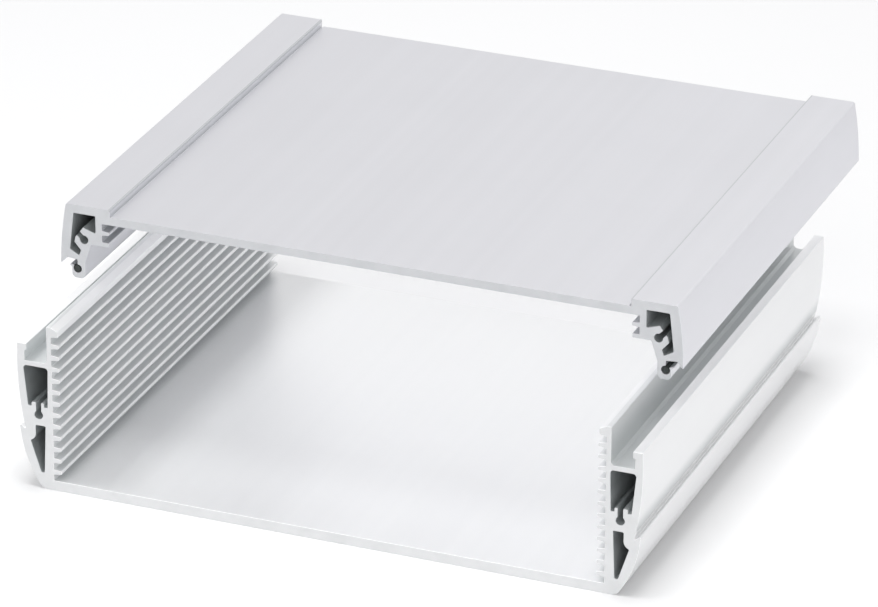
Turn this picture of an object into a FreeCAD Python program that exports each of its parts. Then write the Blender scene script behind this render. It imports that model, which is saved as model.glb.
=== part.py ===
# Aluminium profile enclosure: a ribbed base profile and a lid profile with two sealing cords.
# Millimetres. X across the width, Y along the extrusion to the back, Z up.
# The origin is the middle of the base's underside.
import FreeCAD, Part
import math
import os
import Sketcher

doc = FreeCAD.newDocument("ProfileEnclosure")
sheet = doc.addObject("Spreadsheet::Sheet", "Sizes")

# Driving sizes, each written once
SIZES = [
    ("length", 150.0, "length of both profiles"),
    ("card_width", 160.0, "width of the board that slides into the base"),
    ("card_play", 0.25, "play between the board's edge and the groove, each side"),
    ("card_slot", 1.9, "width of a card groove"),
    ("rib_pitch", 3.45, "height from one rib to the next"),
    ("rib_depth", 2.1, "depth of a card groove"),
    ("rib_lean", 0.22, "how far each flank of a rib leans in to its tip"),
    ("rib_nose", 0.195, "radius of a rib's rounded tip beyond half the tip's width"),
    ("rib_count", 12, "plain ribs under the crest of the inner wall"),
    ("first_rib", 2.6, "height of the lowest rib's middle above the floor"),
    ("floor_thickness", 3.0, "thickness of the base's floor"),
    ("inner_wall", 1.35, "thickness of the inner wall beside the channel"),
    ("crest_rise", 2.15, "height of the wall top above the middle of the crest rib"),
    ("crest_slope", 1.0, "height of the slope from the wall top to the crest rib's tip"),
    ("crest_flat", 1.3, "width of the flat on top of the inner wall"),
    ("channel_mouth", 6.05, "width of the side channel at its nib"),
    ("channel_depth", 5.0, "depth of the side channel below the outer wall's top"),
    ("channel_foot", 0.8, "bevel at the foot of the inner wall in the channel"),
    ("nib_depth", 0.65, "how far the nib stands into the channel"),
    ("nib_height", 1.9, "height of the nib"),
    ("outer_wall", 2.15, "thickness of the outer wall beside the channel"),
    ("wall_step", 6.05, "how far the outer wall ends below the inner wall"),
    ("side_bow", 105.0, "radius of the outer side's gentle bow"),
    ("web_thickness", 1.45, "thickness of the web under the channel"),
    ("chamber_round", 0.9, "radius of the upper chamber's top corners"),
    ("chamber_small_round", 0.35, "radius of the small corners in the hollow chambers"),
    ("chamber_wall_top", 1.2, "inner wall beside the upper chamber, at its top"),
    ("chamber_wall_low", 1.5, "inner wall beside the upper chamber, at its foot"),
    ("chamber_skin_top", 1.7, "outer skin beside the upper chamber, at its top"),
    ("chamber_skin_low", 2.9, "outer skin line beside the upper chamber, at its foot"),
    ("lip_rise", 1.2, "height of the screw channel's lips in the upper chamber"),
    ("lip_slot", 1.0, "width of the slot beside each lip"),
    ("screw_bore", 2.5, "diameter of a screw channel"),
    ("screw_mouth", 1.5, "width of a screw channel's mouth"),
    ("screw_inset", 6.0, "base's screw channels inward of the outer face"),
    ("shelf_height", 19.0, "height of the lower chamber's ceiling above the underside"),
    ("screw_rise", 3.2, "base's screw channels above that ceiling"),
    ("chamber_rise", 2.5, "upper chamber's foot above the screw channels"),
    ("lower_wall_top", 2.25, "inner wall beside the lower chamber, at its ceiling"),
    ("lower_wall_foot", 2.85, "inner wall beside the lower chamber, at its foot"),
    ("lower_ceiling", 2.95, "width of the lower chamber's ceiling"),
    ("neck_drop", 2.7, "below its ceiling, where the lower chamber starts to widen"),
    ("elbow_drop", 4.8, "below its ceiling, the lower chamber's widest place"),
    ("lower_skin", 3.4, "outer face to the lower chamber's widest place"),
    ("lower_bulge", 2.4, "radius of the bulge behind the shadow groove"),
    ("lower_foot", 4.9, "height of the lower chamber's foot above the underside"),
    ("lower_foot_width", 0.95, "width of the lower chamber's foot"),
    ("groove_rise", 0.65, "shadow groove's upper edge above the lower chamber's ceiling"),
    ("groove_inset", 1.45, "shadow groove's upper edge inward of the outer face"),
    ("root_drop", 1.9, "shadow groove's root below the lower chamber's ceiling"),
    ("groove_depth", 2.15, "shadow groove's root inward of the outer face"),
    ("tip_drop", 0.55, "tip under the shadow groove, below the lower chamber's ceiling"),
    ("lip_tip_inset", 0.5, "that tip inward of the outer face"),
    ("lip_edge", 0.45, "height of the tip's outer bevel"),
    ("lip_edge_inset", 0.2, "that bevel's foot inward of the outer face"),
    ("shell_bow", 38.0, "radius of the side's lower curve"),
    ("shell_foot", 5.35, "height where the lower curve ends"),
    ("shell_foot_inset", 3.6, "the lower curve's end inward of the outer face"),
    ("underside_inset", 6.6, "corner of the underside inward of the outer face"),
    ("underside_round", 3.0, "radius of the corner between side and underside"),
    ("closing_gap", 0.6, "gap between the lid's skirt and the outer wall when closed"),
    ("skirt_drop", 15.9, "skirt's tip below the ceiling of the lid's beam"),
    ("skirt_overhang", 0.35, "skirt's tip outward of the base's outer face"),
    ("skirt_bevel_rise", 2.3, "height of the bevel inside the skirt"),
    ("skirt_bevel_width", 1.75, "width of the bevel inside the skirt"),
    ("band_thickness", 2.6, "lid's band above the ceiling of its beam"),
    ("band_width", 13.3, "width of the raised band on the lid"),
    ("band_round", 0.8, "radius of the lid's outer top corner"),
    ("band_inset", 1.35, "lid's outer top corner inward of the outer face"),
    ("plate_drop", 2.1, "lid's plate below its bands"),
    ("plate_thickness", 2.5, "thickness of the lid's plate"),
    ("foot_groove", 0.5, "width of the fine groove along the foot of the band"),
    ("foot_groove_depth", 0.35, "depth of that fine groove"),
    ("lid_guide_inset", 2.0, "roots of the lid's guide grooves inward of the base's"),
    ("lid_guide_wall", 1.9, "wall between the lid's guide grooves and its hollow"),
    ("lid_guide_depth", 2.0, "depth of the lid's guide grooves"),
    ("lid_rib", 1.4, "thickness of the rib between the lid's guide grooves"),
    ("lid_over_wall", 1.75, "lid's lower web above the inner wall when closed"),
    ("lid_web", 1.25, "thickness of the lid's lower web"),
    ("hollow_skin_top", 3.75, "outer face to the lid's hollow, at its ceiling"),
    ("hollow_skin_low", 2.5, "outer face to the lid's hollow, at its floor"),
    ("hollow_low", 11.0, "depth of the hollow's outer floor corner"),
    ("hollow_toe", 12.5, "depth of the hollow's deepest corner"),
    ("hollow_toe_inset", 5.2, "outer face to the hollow's deepest corner"),
    ("boss_heel_inset", 5.8, "outer face to the foot of the lower lip"),
    ("boss_heel", 10.9, "depth of the foot of the lower lip"),
    ("boss_back_inset", 3.85, "outer face to the back of the lower lip"),
    ("boss_back", 8.6, "depth of the back of the lower lip"),
    ("boss_low_inset", 4.2, "outer face to the lower lip's tip"),
    ("boss_low", 7.0, "depth of the lower lip's tip"),
    ("boss_high_inset", 6.0, "outer face to the upper lip's tip"),
    ("boss_high", 4.7, "depth of the upper lip's tip"),
    ("boss_crown_inset", 6.5, "outer face to the top of the upper lip"),
    ("boss_crown", 3.95, "depth of the top of the upper lip"),
    ("boss_root", 5.2, "depth where the upper lip leaves the guide wall"),
    ("lid_screw_inset", 6.8, "outer face to the lid's screw channels"),
    ("lid_screw_depth", 7.6, "depth of the lid's screw channels"),
    ("lid_mouth_length", 4.0, "length of the lid's screw mouths from the channel's middle"),
    ("seal_diameter", 2.4, "diameter of the sealing cords"),
    ("seal_seat", 0.05, "play between the sealing cord and its seat"),
    ("bead_wall", 1.1, "wall behind the sealing cord's seat"),
    ("bead_clearance", 2.1, "bead clear of the channel's floor when closed"),
    ("bead_round", 1.4, "radius of the bead's lower corners"),
    ("bead_shoulder", 2.2, "height of the bead's shoulder above the cord's middle"),
    ("bead_roof", 2.7, "height of the roof over the cord's mouth above the cord's middle"),
    ("flap_wall", 0.4, "flap between the cord and the nib"),
    ("flap_clearance", 0.2, "flap clear of the nib when closed"),
    ("flap_reach", 0.5, "flap's tip out over the nib"),
    ("flap_rise", 0.75, "flap's tip above the nib when closed"),
    ("flap_knee", 0.15, "height above the nib where the flap turns outwards"),
    ("flap_edge", 0.35, "width of the flap's blunt tip"),
    ("seal_below_top", 0.1, "middle of the sealing cord below the outer wall's top when closed"),
    ("mouth_start", 0.95, "cord's mouth, from the cord's middle out to the flap"),
    ("mouth_height", 0.8, "cord's mouth, from the cord's middle up to the flap"),
    ("lid_back", 29.6, "how far the lid is pushed back from its closed place"),
    ("lid_lift", 10.4, "how far the lid is lifted from its closed place"),
]
for row, (alias, value, meaning) in enumerate(SIZES, start=1):
    sheet.set(f"A{row}", meaning)
    sheet.set(f"B{row}", str(value))
    sheet.setAlias(f"B{row}", alias)
doc.recompute()

# Places worked out from the driving sizes, as expressions
# Base, across: groove root, channel side of the inner wall, nib, outer wall's faces
rib_root = "Sizes.card_width / 2 + Sizes.card_play"
rib_tip = f"{rib_root} - Sizes.rib_depth"
wall_face = f"{rib_root} + Sizes.inner_wall"
nib_face = f"{wall_face} + Sizes.channel_mouth"
channel_back = f"{nib_face} + Sizes.nib_depth"
outer_face = f"{channel_back} + Sizes.outer_wall"
base_screw_x = f"{outer_face} - Sizes.screw_inset"

# Base, upwards: ribs, wall tops, channel floor, chambers
floor_top = "Sizes.floor_thickness"
first_rib_z = f"{floor_top} + Sizes.first_rib"
crest_z = f"{first_rib_z} + Sizes.rib_count * Sizes.rib_pitch"
half_rib = "(Sizes.rib_pitch - Sizes.card_slot) / 2"
rib_nose = f"{half_rib} - Sizes.rib_lean + Sizes.rib_nose"
wall_top = f"{crest_z} + Sizes.crest_rise"
outer_top = f"{wall_top} - Sizes.wall_step"
channel_floor = f"{outer_top} - Sizes.channel_depth"
web_under = f"{channel_floor} - Sizes.web_thickness"
screw_z = "Sizes.shelf_height + Sizes.screw_rise"
chamber_foot = f"{screw_z} + Sizes.chamber_rise"
lip_top = f"{chamber_foot} + Sizes.lip_rise"

# Lid in its closed place: the ceiling of its beams is the datum for its depths
lid_datum = f"{outer_top} + Sizes.closing_gap + Sizes.skirt_drop"
band_top = f"{lid_datum} + Sizes.band_thickness"
plate_top = f"{band_top} - Sizes.plate_drop"
plate_under = f"{plate_top} - Sizes.plate_thickness"
band_inner = f"{outer_face} - Sizes.band_inset - Sizes.band_width"
skirt_tip_z = f"{outer_top} + Sizes.closing_gap"
guide_root = f"{rib_root} - Sizes.lid_guide_inset"
guide_tip = f"{guide_root} - Sizes.lid_guide_depth"
hollow_inner = f"{guide_root} + Sizes.lid_guide_wall"
lid_web_under = f"{wall_top} + Sizes.lid_over_wall"
lid_web_top = f"{lid_web_under} + Sizes.lid_web"
lid_rib_z = f"({lid_web_top} + {plate_under}) / 2"
lid_rib_nose = "Sizes.lid_rib / 2 - Sizes.rib_lean + Sizes.rib_nose"
lid_screw_x = f"{outer_face} - Sizes.lid_screw_inset"
lid_screw_z = f"{lid_datum} - Sizes.lid_screw_depth"

# Sealing cord: behind a thin flap that passes the nib
seal_radius = "Sizes.seal_diameter / 2"
seat_radius = f"{seal_radius} + Sizes.seal_seat"
flap_face = f"{nib_face} - Sizes.flap_clearance"
flap_tip = f"{nib_face} + Sizes.flap_reach"
seal_x = f"{flap_face} - Sizes.flap_wall - ({seat_radius})"
seal_z = f"{outer_top} - Sizes.seal_below_top"
bead_inner = f"{seal_x} - ({seat_radius}) - Sizes.bead_wall"
bead_under = f"{channel_floor} + Sizes.bead_clearance"


def corner(x, z, radius=None, bow=None, bulge=1):
    """A corner of an outline: rounded by radius, with the side after it bowed to its right (1) or left (-1)."""
    return {"x": x, "z": z, "radius": radius, "bow": bow, "bulge": bulge}


def origin_plane(body, role):
    """The body's own origin plane with this role."""
    return next(item for item in body.Origin.OriginFeatures if item.Role == role)


def section_sketch(body, name):
    """An empty sketch across the extrusion: its x is X and its y is Z."""
    sketch = body.newObject("Sketcher::SketchObject", name)
    sketch.AttachmentSupport = (origin_plane(body, "XZ_Plane"), "")
    sketch.MapMode = "FlatFace"
    return sketch


def size_of(sketch, expression):
    """The number that an expression gives now."""
    return float(sketch.evalExpression(expression))


def bind(sketch, name, constraint, expression):
    """Add a constraint and bind it to the sheet."""
    index = sketch.addConstraint(constraint)
    sketch.renameConstraint(index, name)
    sketch.setExpression(f"Constraints.{name}", expression)


def place_point(sketch, tag, geometry, position, place):
    """Hold a point at its place, on an axis where the place is 0."""
    for axis, kind, line in (("x", "DistanceX", -2), ("z", "DistanceY", -1)):
        expression = place[axis]
        if expression == "0":
            sketch.addConstraint(Sketcher.Constraint("PointOnObject", geometry, position, line))
            continue
        number = size_of(sketch, expression)
        constraint = Sketcher.Constraint(kind, -1, 1, geometry, position, number)
        bind(sketch, f"{axis}{tag}", constraint, expression)


def rounding(before, here, after, radius):
    """Where a rounded corner's arc starts and ends, and its middle."""
    to_before = (before - here).normalize()
    to_after = (after - here).normalize()
    half_angle = to_before.getAngle(to_after) / 2
    along = radius / math.tan(half_angle)
    bisector = (to_before + to_after).normalize()
    centre = here + bisector * (radius / math.sin(half_angle))
    return here + to_before * along, centre, here + to_after * along


def bowed_centre(start, end, radius, bulge):
    """The centre of the arc from start to end that bulges to the right (1) or left (-1)."""
    chord = end - start
    left = FreeCAD.Vector(-chord.y, chord.x, 0).normalize()
    reach = math.sqrt(radius ** 2 - (chord.Length / 2) ** 2)
    return (start + end) / 2 + left * reach * bulge


def add_arc(sketch, start, centre, end, turn):
    """Add the arc round centre from start to end, and give its id and its two end positions."""
    spoke_start = start - centre
    spoke_end = end - centre
    angle_start = math.atan2(spoke_start.y, spoke_start.x)
    angle_end = math.atan2(spoke_end.y, spoke_end.x)
    circle = Part.Circle(centre, FreeCAD.Vector(0, 0, 1), spoke_start.Length)
    if turn > 0:
        return sketch.addGeometry(Part.ArcOfCircle(circle, angle_start, angle_end)), 1, 2
    return sketch.addGeometry(Part.ArcOfCircle(circle, angle_end, angle_start)), 2, 1


def draw_outline(sketch, corners):
    """Draw a closed outline through the corners, held by expressions."""
    count = len(corners)
    points = [FreeCAD.Vector(size_of(sketch, c["x"]), size_of(sketch, c["z"]), 0) for c in corners]
    starts = list(points)
    ends = list(points)
    centres = [None] * count
    for i, c in enumerate(corners):
        if c["radius"]:
            radius = size_of(sketch, c["radius"])
            ends[i], centres[i], starts[i] = rounding(points[i - 1], points[i], points[(i + 1) % count], radius)

    # Each side, straight or bowed
    sides = []
    for i, c in enumerate(corners):
        start, end = starts[i], ends[(i + 1) % count]
        if c["bow"]:
            centre = bowed_centre(start, end, size_of(sketch, c["bow"]), c["bulge"])
            side = add_arc(sketch, start, centre, end, c["bulge"])
            bind(sketch, f"bow{i}", Sketcher.Constraint("Radius", side[0], size_of(sketch, c["bow"])), c["bow"])
        else:
            side = (sketch.addGeometry(Part.LineSegment(start, end)), 1, 2)
        sides.append(side)

    # Each corner, sharp or rounded
    for i, c in enumerate(corners):
        before, after = sides[i - 1], sides[i]
        if not c["radius"]:
            sketch.addConstraint(Sketcher.Constraint("Coincident", before[0], before[2], after[0], after[1]))
            place_point(sketch, i, after[0], after[1], c)
            continue
        incoming = points[i] - points[i - 1]
        outgoing = points[(i + 1) % count] - points[i]
        turn = incoming.x * outgoing.y - incoming.y * outgoing.x
        arc, arc_start, arc_end = add_arc(sketch, ends[i], centres[i], starts[i], turn)
        apex = sketch.addGeometry(Part.Point(points[i]), True)
        place_point(sketch, i, apex, 1, c)
        sketch.addConstraint(Sketcher.Constraint("PointOnObject", apex, 1, before[0]))
        sketch.addConstraint(Sketcher.Constraint("PointOnObject", apex, 1, after[0]))
        sketch.addConstraint(Sketcher.Constraint("Tangent", before[0], before[2], arc, arc_start))
        sketch.addConstraint(Sketcher.Constraint("Tangent", arc, arc_end, after[0], after[1]))
        radius = size_of(sketch, c["radius"])
        bind(sketch, f"round{i}", Sketcher.Constraint("Radius", arc, radius), c["radius"])


def outline_sketch(body, name, corners):
    """A section sketch with one closed outline."""
    sketch = section_sketch(body, name)
    draw_outline(sketch, corners)
    return sketch


def circle_sketch(body, name, x, z, radius):
    """A section sketch with one circle."""
    sketch = section_sketch(body, name)
    centre = FreeCAD.Vector(size_of(sketch, x), size_of(sketch, z), 0)
    number = size_of(sketch, radius)
    circle = sketch.addGeometry(Part.Circle(centre, FreeCAD.Vector(0, 0, 1), number))
    place_point(sketch, "centre", circle, 3, {"x": x, "z": z})
    bind(sketch, "radius", Sketcher.Constraint("Radius", circle, number), radius)
    return sketch


def extrude(body, name, sketch):
    """Fill a section over the full length, half of it each way."""
    pad = body.newObject("PartDesign::Pad", name)
    pad.Profile = sketch
    pad.SideType = "Symmetric"
    pad.setExpression("Length", "Sizes.length")
    doc.recompute()
    return pad


def hollow(body, name, sketch):
    """Cut a section out over the full length."""
    before = body.Shape.Volume
    pocket = body.newObject("PartDesign::Pocket", name)
    pocket.Profile = sketch
    pocket.SideType = "Symmetric"
    pocket.setExpression("Length", "Sizes.length")
    doc.recompute()
    if body.Shape.Volume >= before:
        raise RuntimeError(f"{name} cuts nothing")
    return pocket


def mirror_whole(body, name):
    """Mirror everything made so far to the left half."""
    mirrored = body.newObject("PartDesign::Mirrored", name)
    mirrored.TransformMode = "Whole shape"
    mirrored.MirrorPlane = (origin_plane(body, "YZ_Plane"), [""])
    body.Tip = mirrored
    doc.recompute()
    return mirrored


# Base profile, right half: floor, double side wall and hooked channel
base = doc.addObject("PartDesign::Body", "base_profile")
base_section = outline_sketch(base, "base_section", [
    corner("0", "0"),
    corner(f"{outer_face} - Sizes.underside_inset", "0", radius="Sizes.underside_round"),
    corner(f"{outer_face} - Sizes.shell_foot_inset", "Sizes.shell_foot", bow="Sizes.shell_bow"),
    corner(f"{outer_face} - Sizes.lip_edge_inset", "Sizes.shelf_height - Sizes.tip_drop - Sizes.lip_edge"),
    corner(f"{outer_face} - Sizes.lip_tip_inset", "Sizes.shelf_height - Sizes.tip_drop"),
    corner(f"{outer_face} - Sizes.groove_depth", "Sizes.shelf_height - Sizes.root_drop"),
    corner(f"{outer_face} - Sizes.groove_inset", "Sizes.shelf_height + Sizes.groove_rise",
           bow="Sizes.side_bow"),
    corner(outer_face, outer_top),
    corner(nib_face, outer_top),
    corner(nib_face, f"{outer_top} - Sizes.nib_height"),
    corner(channel_back, f"{outer_top} - Sizes.nib_height"),
    corner(channel_back, channel_floor),
    corner(f"{wall_face} + Sizes.channel_foot", channel_floor),
    corner(wall_face, f"{channel_floor} + Sizes.channel_foot"),
    corner(wall_face, wall_top),
    corner(f"{wall_face} - Sizes.crest_flat", wall_top),
    corner(rib_tip, f"{wall_top} - Sizes.crest_slope"),
    corner(rib_tip, f"{crest_z} - {half_rib} + Sizes.rib_lean"),
    corner(rib_root, f"{crest_z} - {half_rib}"),
    corner(rib_root, floor_top),
    corner("0", floor_top),
])
extrude(base, "base_solid", base_section)

# Card guides: one rib, repeated up the inner wall
rib_sketch = outline_sketch(base, "rib_section", [
    corner(wall_face, f"{first_rib_z} - {half_rib}"),
    corner(wall_face, f"{first_rib_z} + {half_rib}"),
    corner(rib_root, f"{first_rib_z} + {half_rib}"),
    corner(rib_tip, f"{first_rib_z} + {half_rib} - Sizes.rib_lean", bow=rib_nose),
    corner(rib_tip, f"{first_rib_z} - {half_rib} + Sizes.rib_lean"),
    corner(rib_root, f"{first_rib_z} - {half_rib}"),
])
rib = extrude(base, "rib", rib_sketch)
ribs = base.newObject("PartDesign::LinearPattern", "ribs")
ribs.Originals = [rib]
ribs.Direction = (next(item for item in base.Origin.OriginFeatures if item.Role == "Z_Axis"), [""])
ribs.Mode = "Spacing"
ribs.setExpression("Offset", "Sizes.rib_pitch")
ribs.setExpression("Occurrences", "Sizes.rib_count")
base.Tip = ribs
doc.recompute()

# Upper chamber, with a slot each side of the screw channel's lips
hollow(base, "upper_chamber", outline_sketch(base, "upper_chamber_section", [
    corner(f"{rib_root} + Sizes.chamber_wall_top", web_under, radius="Sizes.chamber_round"),
    corner(f"{outer_face} - Sizes.chamber_skin_top", web_under, radius="Sizes.chamber_round"),
    corner(f"{outer_face} - Sizes.chamber_skin_low", chamber_foot, radius="Sizes.chamber_small_round"),
    corner(f"{outer_face} - Sizes.chamber_skin_low - Sizes.lip_slot", chamber_foot),
    corner(f"{outer_face} - Sizes.chamber_skin_low - Sizes.lip_slot", lip_top,
           radius="Sizes.chamber_small_round"),
    corner(f"{rib_root} + Sizes.chamber_wall_low + Sizes.lip_slot", lip_top,
           radius="Sizes.chamber_small_round"),
    corner(f"{rib_root} + Sizes.chamber_wall_low + Sizes.lip_slot", chamber_foot),
    corner(f"{rib_root} + Sizes.chamber_wall_low", chamber_foot),
]))

# Screw channel under the upper chamber, open upwards through its mouth
hollow(base, "screw_channel", circle_sketch(
    base, "screw_channel_section", base_screw_x, screw_z, "Sizes.screw_bore / 2"))
hollow(base, "screw_mouth", outline_sketch(base, "screw_mouth_section", [
    corner(f"{base_screw_x} - Sizes.screw_mouth / 2", screw_z),
    corner(f"{base_screw_x} + Sizes.screw_mouth / 2", screw_z),
    corner(f"{base_screw_x} + Sizes.screw_mouth / 2", lip_top),
    corner(f"{base_screw_x} - Sizes.screw_mouth / 2", lip_top),
]))

# Lower chamber behind the shadow groove, narrowing to the foot
hollow(base, "lower_chamber", outline_sketch(base, "lower_chamber_section", [
    corner(f"{rib_root} + Sizes.lower_wall_top", "Sizes.shelf_height"),
    corner(f"{rib_root} + Sizes.lower_wall_top + Sizes.lower_ceiling", "Sizes.shelf_height",
           radius="Sizes.chamber_small_round"),
    corner(f"{rib_root} + Sizes.lower_wall_top + Sizes.lower_ceiling", "Sizes.shelf_height - Sizes.neck_drop",
           bow="Sizes.lower_bulge", bulge=1),
    corner(f"{outer_face} - Sizes.lower_skin", "Sizes.shelf_height - Sizes.elbow_drop"),
    corner(f"{rib_root} + Sizes.lower_wall_foot + Sizes.lower_foot_width", "Sizes.lower_foot",
           radius="Sizes.chamber_small_round"),
    corner(f"{rib_root} + Sizes.lower_wall_foot", "Sizes.lower_foot", radius="Sizes.chamber_small_round"),
]))
mirror_whole(base, "base_mirrored")

# Lid profile, right half, drawn where it lies when closed
lid = doc.addObject("PartDesign::Body", "lid_profile")
lid_section = outline_sketch(lid, "lid_section", [
    corner("0", plate_under),
    corner(guide_root, plate_under),
    corner(guide_root, lid_web_top),
    corner(guide_tip, lid_web_top),
    corner(guide_tip, lid_web_under),
    corner(wall_face, lid_web_under),
    corner(bead_inner, f"{seal_z} + Sizes.bead_shoulder"),
    corner(bead_inner, bead_under, radius="Sizes.bead_round"),
    corner(flap_face, bead_under, radius="Sizes.bead_round"),
    corner(flap_face, f"{outer_top} + Sizes.flap_knee"),
    corner(flap_tip, f"{outer_top} + Sizes.flap_rise"),
    corner(f"{flap_tip} - Sizes.flap_edge", f"{outer_top} + Sizes.flap_rise + Sizes.flap_edge"),
    corner(f"{seal_x} + Sizes.mouth_start", f"{seal_z} + Sizes.mouth_height"),
    corner(seal_x, f"{seal_z} + Sizes.mouth_height"),
    corner(seal_x, f"{seal_z} + Sizes.bead_roof"),
    corner(f"{outer_face} + Sizes.skirt_overhang - Sizes.skirt_bevel_width",
           f"{skirt_tip_z} + Sizes.skirt_bevel_rise"),
    corner(f"{outer_face} + Sizes.skirt_overhang", skirt_tip_z, bow="Sizes.side_bow"),
    corner(f"{outer_face} - Sizes.band_inset", f"{band_top} - Sizes.band_round",
           bow="Sizes.band_round"),
    corner(f"{outer_face} - Sizes.band_inset - Sizes.band_round", band_top),
    corner(band_inner, band_top),
    corner(band_inner, f"{plate_top} - Sizes.foot_groove_depth"),
    corner(f"{band_inner} - Sizes.foot_groove", f"{plate_top} - Sizes.foot_groove_depth"),
    corner(f"{band_inner} - Sizes.foot_groove", plate_top),
    corner("0", plate_top),
])
extrude(lid, "lid_solid", lid_section)

# Rib between the lid's two guide grooves
extrude(lid, "guide_rib", outline_sketch(lid, "guide_rib_section", [
    corner(hollow_inner, f"{lid_rib_z} - Sizes.lid_rib / 2"),
    corner(hollow_inner, f"{lid_rib_z} + Sizes.lid_rib / 2"),
    corner(guide_root, f"{lid_rib_z} + Sizes.lid_rib / 2"),
    corner(guide_tip, f"{lid_rib_z} + Sizes.lid_rib / 2 - Sizes.rib_lean", bow=lid_rib_nose),
    corner(guide_tip, f"{lid_rib_z} - Sizes.lid_rib / 2 + Sizes.rib_lean"),
    corner(guide_root, f"{lid_rib_z} - Sizes.lid_rib / 2"),
]))

# Hollow of the side beam, round the two lips of the screw channel
hollow(lid, "beam_hollow", outline_sketch(lid, "beam_hollow_section", [
    corner(hollow_inner, lid_datum),
    corner(hollow_inner, f"{lid_datum} - Sizes.boss_root", radius="Sizes.chamber_small_round"),
    corner(f"{outer_face} - Sizes.boss_crown_inset", f"{lid_datum} - Sizes.boss_crown",
           radius="Sizes.chamber_small_round"),
    corner(f"{outer_face} - Sizes.boss_high_inset", f"{lid_datum} - Sizes.boss_high"),
    corner(f"{outer_face} - Sizes.boss_low_inset", f"{lid_datum} - Sizes.boss_low",
           radius="Sizes.chamber_small_round"),
    corner(f"{outer_face} - Sizes.boss_back_inset", f"{lid_datum} - Sizes.boss_back"),
    corner(f"{outer_face} - Sizes.boss_heel_inset", f"{lid_datum} - Sizes.boss_heel",
           radius="Sizes.chamber_small_round"),
    corner(f"{outer_face} - Sizes.hollow_toe_inset", f"{lid_datum} - Sizes.hollow_toe"),
    corner(f"{outer_face} - Sizes.hollow_skin_low", f"{lid_datum} - Sizes.hollow_low",
           radius="Sizes.chamber_small_round"),
    corner(f"{outer_face} - Sizes.hollow_skin_top", lid_datum, radius="Sizes.chamber_small_round"),
]))

# Screw channel of the lid, its mouth turned up and outwards at 45 degrees
hollow(lid, "lid_screw_channel", circle_sketch(
    lid, "lid_screw_channel_section", lid_screw_x, lid_screw_z, "Sizes.screw_bore / 2"))
mouth_side = "Sizes.screw_mouth / 2 * sqrt(0.5)"
mouth_reach = "Sizes.lid_mouth_length * sqrt(0.5)"
hollow(lid, "lid_screw_mouth", outline_sketch(lid, "lid_screw_mouth_section", [
    corner(f"{lid_screw_x} - {mouth_side}", f"{lid_screw_z} + {mouth_side}"),
    corner(f"{lid_screw_x} + {mouth_side}", f"{lid_screw_z} - {mouth_side}"),
    corner(f"{lid_screw_x} + {mouth_side} + {mouth_reach}", f"{lid_screw_z} - {mouth_side} + {mouth_reach}"),
    corner(f"{lid_screw_x} - {mouth_side} + {mouth_reach}", f"{lid_screw_z} + {mouth_side} + {mouth_reach}"),
]))

# Seat of the sealing cord, open upwards and outwards past the flap
hollow(lid, "seal_seat", circle_sketch(lid, "seal_seat_section", seal_x, seal_z, seat_radius))
mirror_whole(lid, "lid_mirrored")
lid.setExpression("Placement.Base.y", "Sizes.lid_back")
lid.setExpression("Placement.Base.z", "Sizes.lid_lift")

# Sealing cords, each drawn round its own middle and laid in its seat
seals = []
for side_name, sign in (("left", "-1"), ("right", "1")):
    seal = doc.addObject("PartDesign::Body", f"seal_{side_name}")
    extrude(seal, f"cord_{side_name}", circle_sketch(seal, f"cord_{side_name}_section", "0", "0", seal_radius))
    seal.setExpression("Placement.Base.x", f"{sign} * ({seal_x})")
    seal.setExpression("Placement.Base.y", "Sizes.lid_back")
    seal.setExpression("Placement.Base.z", f"{seal_z} + Sizes.lid_lift")
    seals.append(seal)
doc.recompute()

# Every object sound, then one file for each piece
for item in doc.Objects:
    if "Invalid" in item.State or "Error" in item.State:
        raise RuntimeError(f"{item.Label} failed: {item.State}")
os.makedirs("parts", exist_ok=True)
for body in [base, lid] + seals:
    shape = body.Shape
    if shape.isNull() or not shape.isValid() or len(shape.Solids) != 1:
        raise RuntimeError(f"{body.Label} isn't one sound solid")
    shape.exportStep(f"parts/{body.Label}.step")
    box = shape.BoundBox
    print(f"{body.Label}: {box.XLength:.2f} x {box.YLength:.2f} x {box.ZLength:.2f} mm, "
          f"{shape.Volume / 1000:.1f} cm3")
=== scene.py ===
# %% [markdown]
# A ribbed aluminium enclosure, seen as in a catalogue: the base profile stands on a white table, and its
# lid profile is lifted off and pushed back, so that the card guides, the hollow side walls and the floor
# show. Both parts are straight extrusions. Their sections are known exactly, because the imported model
# holds them, and this lesson dresses them: it reads each section off its node, rounds the corners as a
# worn die leaves them, draws it out to length again with Geometry Nodes, and gives each surface the
# finish of its making.

# %% Load the frame
import math

import bmesh
import bpy
from mathutils import Matrix, Vector


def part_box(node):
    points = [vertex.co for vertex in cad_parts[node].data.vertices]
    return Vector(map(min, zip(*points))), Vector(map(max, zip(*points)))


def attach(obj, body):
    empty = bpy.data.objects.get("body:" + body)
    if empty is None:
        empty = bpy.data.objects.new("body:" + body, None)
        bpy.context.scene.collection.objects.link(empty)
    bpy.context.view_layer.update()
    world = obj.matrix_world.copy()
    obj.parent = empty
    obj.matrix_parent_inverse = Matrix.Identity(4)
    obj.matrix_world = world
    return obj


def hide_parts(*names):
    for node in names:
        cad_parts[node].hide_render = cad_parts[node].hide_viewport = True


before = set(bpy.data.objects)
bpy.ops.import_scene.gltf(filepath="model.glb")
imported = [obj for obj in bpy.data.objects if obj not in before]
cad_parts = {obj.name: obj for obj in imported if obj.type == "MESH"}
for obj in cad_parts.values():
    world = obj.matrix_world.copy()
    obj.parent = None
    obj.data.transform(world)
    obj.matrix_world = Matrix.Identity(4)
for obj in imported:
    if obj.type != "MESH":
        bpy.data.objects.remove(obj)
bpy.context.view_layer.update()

MM = 0.001
print("nodes:", ", ".join(sorted(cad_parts)))

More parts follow.
